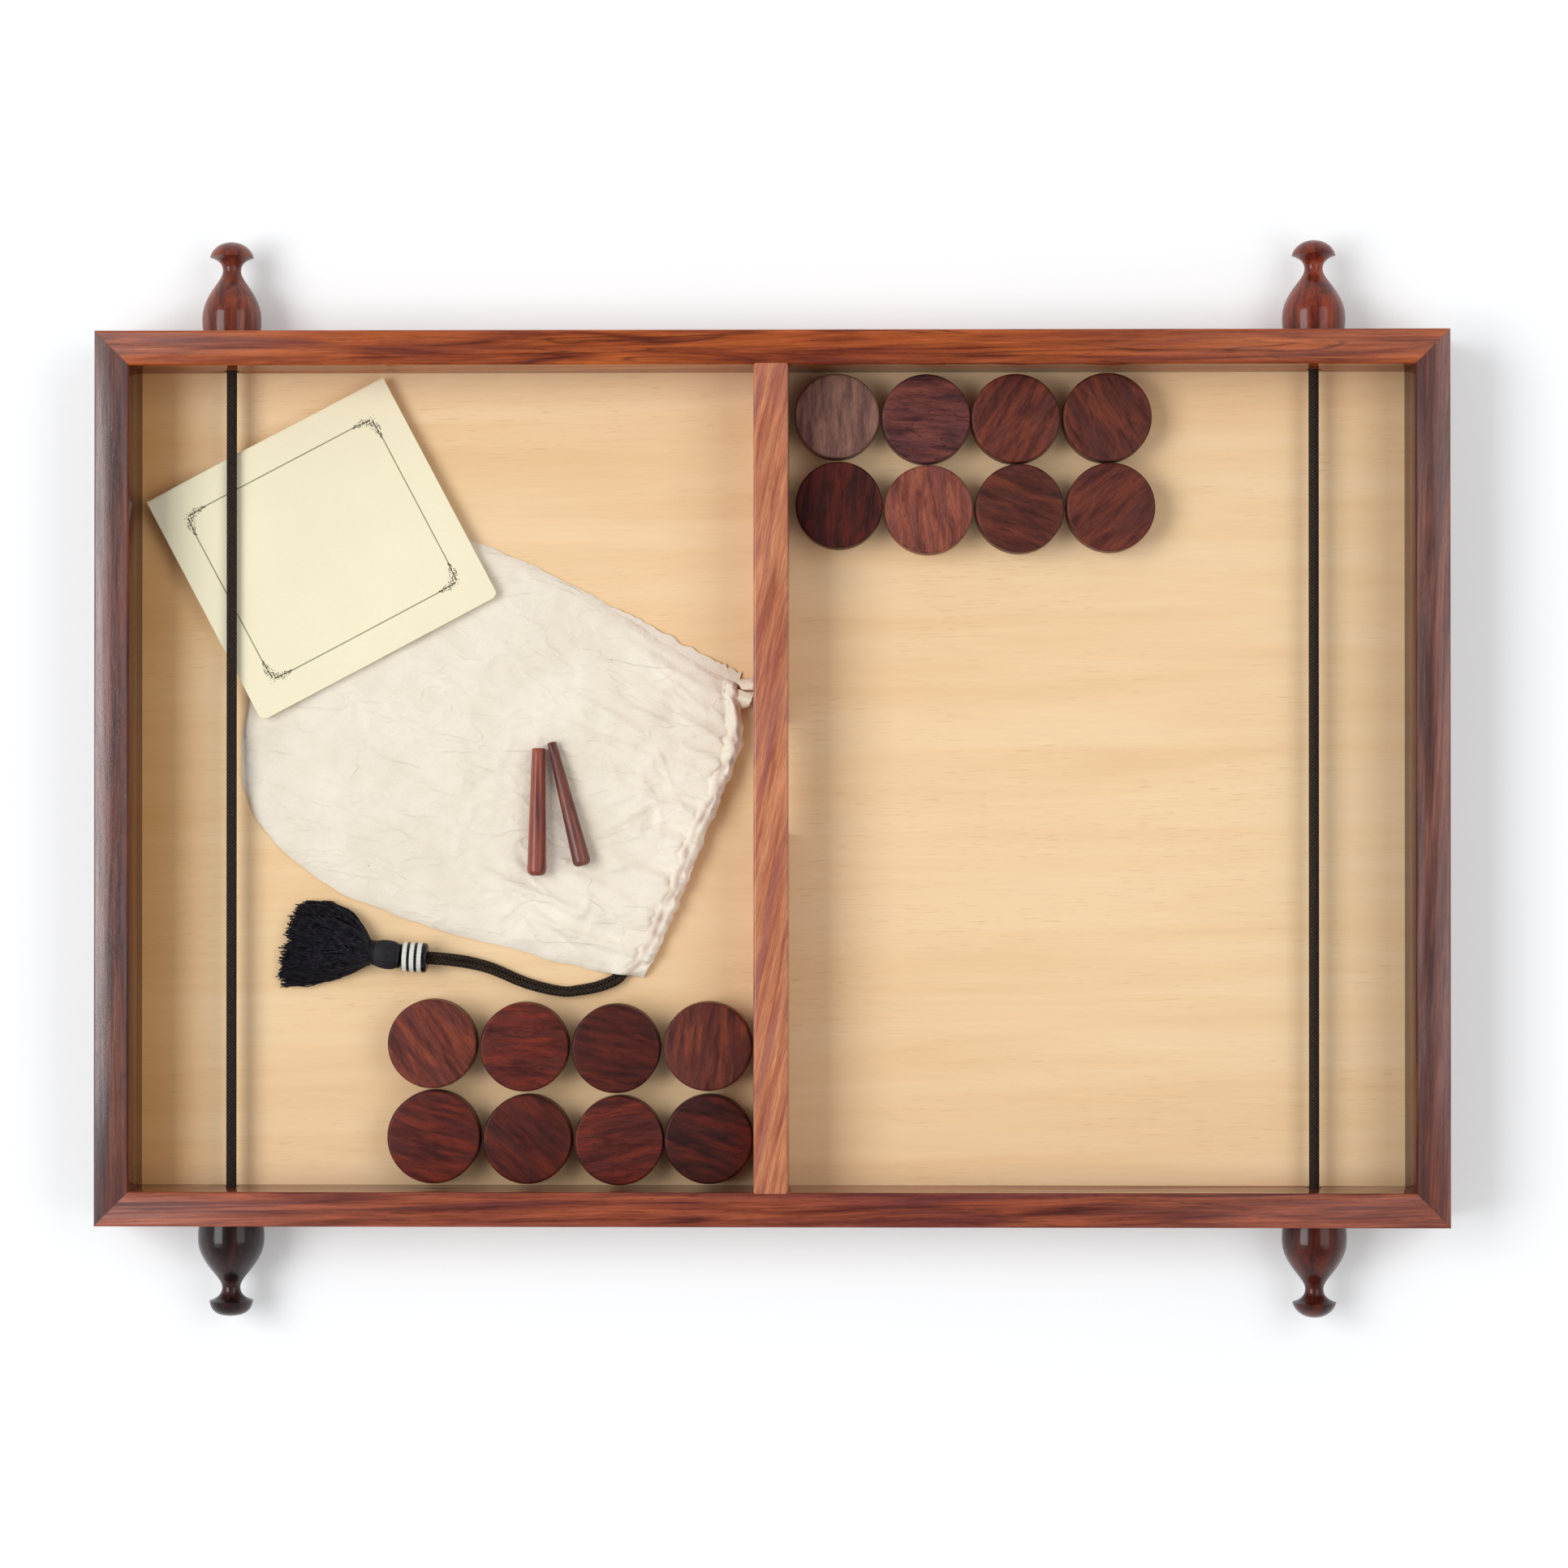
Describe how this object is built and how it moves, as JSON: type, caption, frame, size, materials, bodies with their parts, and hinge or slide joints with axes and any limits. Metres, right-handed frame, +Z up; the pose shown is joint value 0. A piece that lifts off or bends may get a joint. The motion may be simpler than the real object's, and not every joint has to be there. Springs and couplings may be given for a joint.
{
  "type": "sling puck board",
  "caption": "Wooden tray game: a divider with a gate, an elastic across each end on turned knobs, with pucks, pegs, drawstring bag and booklet inside.",
  "frame": {"origin": "on the table, under the middle of the board's footprint", "axes": "+X along the long rails towards the half whose pucks stand by the back rail, +Y across the board towards the back rail, +Z up"},
  "size_m": [0.68, 0.5464, 0.048],
  "materials": {
    "rail_wood": "satin varnished rosewood",
    "divider_wood": "satin varnished rosewood, paler",
    "floor_ply": "varnished pale plywood",
    "knob_wood": "polished turned rosewood",
    "puck_wood": "smooth oiled rosewood",
    "peg_wood": "smooth oiled rosewood",
    "elastic_cord": "woven cover over a rubber core",
    "bag_cotton": "unbleached plain-weave cotton",
    "drawstring_braid": "braided cotton cord",
    "bead_striped": "black with three pale bands",
    "tassel_thread": "loose cotton threads",
    "booklet_card": "smooth pale yellow card",
    "booklet_paper": "matt pale paper"
  },
  "bodies": {
    "board": {"back_rail": "rail_wood", "front_rail": "rail_wood", "left_rail": "rail_wood", "right_rail": "rail_wood", "floor_panel": "floor_ply", "centre_divider": "divider_wood", "left_elastic": "elastic_cord", "right_elastic": "elastic_cord"},
    "knob_back_left": {"knob_back_left": "knob_wood"},
    "knob_back_right": {"knob_back_right": "knob_wood"},
    "knob_front_left": {"knob_front_left": "knob_wood"},
    "knob_front_right": {"knob_front_right": "knob_wood"},
    "puck_01": {"puck_01": "puck_wood"},
    "puck_02": {"puck_02": "puck_wood"},
    "puck_03": {"puck_03": "puck_wood"},
    "puck_04": {"puck_04": "puck_wood"},
    "puck_05": {"puck_05": "puck_wood"},
    "puck_06": {"puck_06": "puck_wood"},
    "puck_07": {"puck_07": "puck_wood"},
    "puck_08": {"puck_08": "puck_wood"},
    "puck_09": {"puck_09": "puck_wood"},
    "puck_10": {"puck_10": "puck_wood"},
    "puck_11": {"puck_11": "puck_wood"},
    "puck_12": {"puck_12": "puck_wood"},
    "puck_13": {"puck_13": "puck_wood"},
    "puck_14": {"puck_14": "puck_wood"},
    "puck_15": {"puck_15": "puck_wood"},
    "puck_16": {"puck_16": "puck_wood"},
    "bag": {"bag_body": "bag_cotton", "bag_casing": "bag_cotton", "drawstring_inner": "drawstring_braid", "drawstring_outer": "drawstring_braid", "bead": "bead_striped", "tassel_head": "tassel_thread", "tassel_skirt": "tassel_thread"},
    "peg_1": {"tension_peg_1": "peg_wood"},
    "peg_2": {"tension_peg_2": "peg_wood"},
    "booklet": {"booklet_cover": "booklet_card", "booklet_pages": "booklet_paper"}
  },
  "joints": [
    {"name": "knob_back_left_pull", "type": "slide", "parent": "board", "child": "knob_back_left", "axis": [0, 1, 0], "range_m": [0, 0.012]},
    {"name": "knob_back_right_pull", "type": "slide", "parent": "board", "child": "knob_back_right", "axis": [0, 1, 0], "range_m": [0, 0.012]},
    {"name": "knob_front_left_pull", "type": "slide", "parent": "board", "child": "knob_front_left", "axis": [0, -1, 0], "range_m": [0, 0.012]},
    {"name": "knob_front_right_pull", "type": "slide", "parent": "board", "child": "knob_front_right", "axis": [0, -1, 0], "range_m": [0, 0.012]},
    {"name": "puck_01_lift", "type": "slide", "parent": "board", "child": "puck_01", "axis": [0, 0, 1], "range_m": [0, 0.06]},
    {"name": "puck_02_lift", "type": "slide", "parent": "board", "child": "puck_02", "axis": [0, 0, 1], "range_m": [0, 0.06]},
    {"name": "puck_03_lift", "type": "slide", "parent": "board", "child": "puck_03", "axis": [0, 0, 1], "range_m": [0, 0.06]},
    {"name": "puck_04_slide", "type": "slide", "parent": "board", "child": "puck_04", "axis": [1, 0, 0], "range_m": [0, 0.076]},
    {"name": "puck_05_slide", "type": "slide", "parent": "board", "child": "puck_05", "axis": [0, -1, 0], "range_m": [0, 0.315]},
    {"name": "puck_06_slide", "type": "slide", "parent": "board", "child": "puck_06", "axis": [0, -1, 0], "range_m": [0, 0.315]},
    {"name": "puck_07_slide", "type": "slide", "parent": "board", "child": "puck_07", "axis": [0, -1, 0], "range_m": [0, 0.315]},
    {"name": "puck_08_slide", "type": "slide", "parent": "board", "child": "puck_08", "axis": [0, -1, 0], "range_m": [0, 0.315]},
    {"name": "puck_09_lift", "type": "slide", "parent": "board", "child": "puck_09", "axis": [0, 0, 1], "range_m": [0, 0.06]},
    {"name": "puck_10_lift", "type": "slide", "parent": "board", "child": "puck_10", "axis": [0, 0, 1], "range_m": [0, 0.06]},
    {"name": "puck_11_lift", "type": "slide", "parent": "board", "child": "puck_11", "axis": [0, 0, 1], "range_m": [0, 0.06]},
    {"name": "puck_12_slide", "type": "slide", "parent": "board", "child": "puck_12", "axis": [-1, 0, 0], "range_m": [0, 0.074]},
    {"name": "puck_13_lift", "type": "slide", "parent": "board", "child": "puck_13", "axis": [0, 0, 1], "range_m": [0, 0.06]},
    {"name": "puck_14_lift", "type": "slide", "parent": "board", "child": "puck_14", "axis": [0, 0, 1], "range_m": [0, 0.06]},
    {"name": "puck_15_lift", "type": "slide", "parent": "board", "child": "puck_15", "axis": [0, 0, 1], "range_m": [0, 0.06]},
    {"name": "puck_16_slide", "type": "slide", "parent": "board", "child": "puck_16", "axis": [-1, 0, 0], "range_m": [0, 0.074]},
    {"name": "bag_slide", "type": "slide", "parent": "board", "child": "bag", "axis": [0, 1, 0], "range_m": [0, 0.045]},
    {"name": "peg_1_lift", "type": "slide", "parent": "bag", "child": "peg_1", "axis": [0, 0, 1], "range_m": [0, 0.05]},
    {"name": "peg_2_lift", "type": "slide", "parent": "bag", "child": "peg_2", "axis": [0, 0, 1], "range_m": [0, 0.05]},
    {"name": "booklet_slide", "type": "slide", "parent": "board", "child": "booklet", "axis": [1, 0, 0], "range_m": [0, 0.06]}
  ]
}
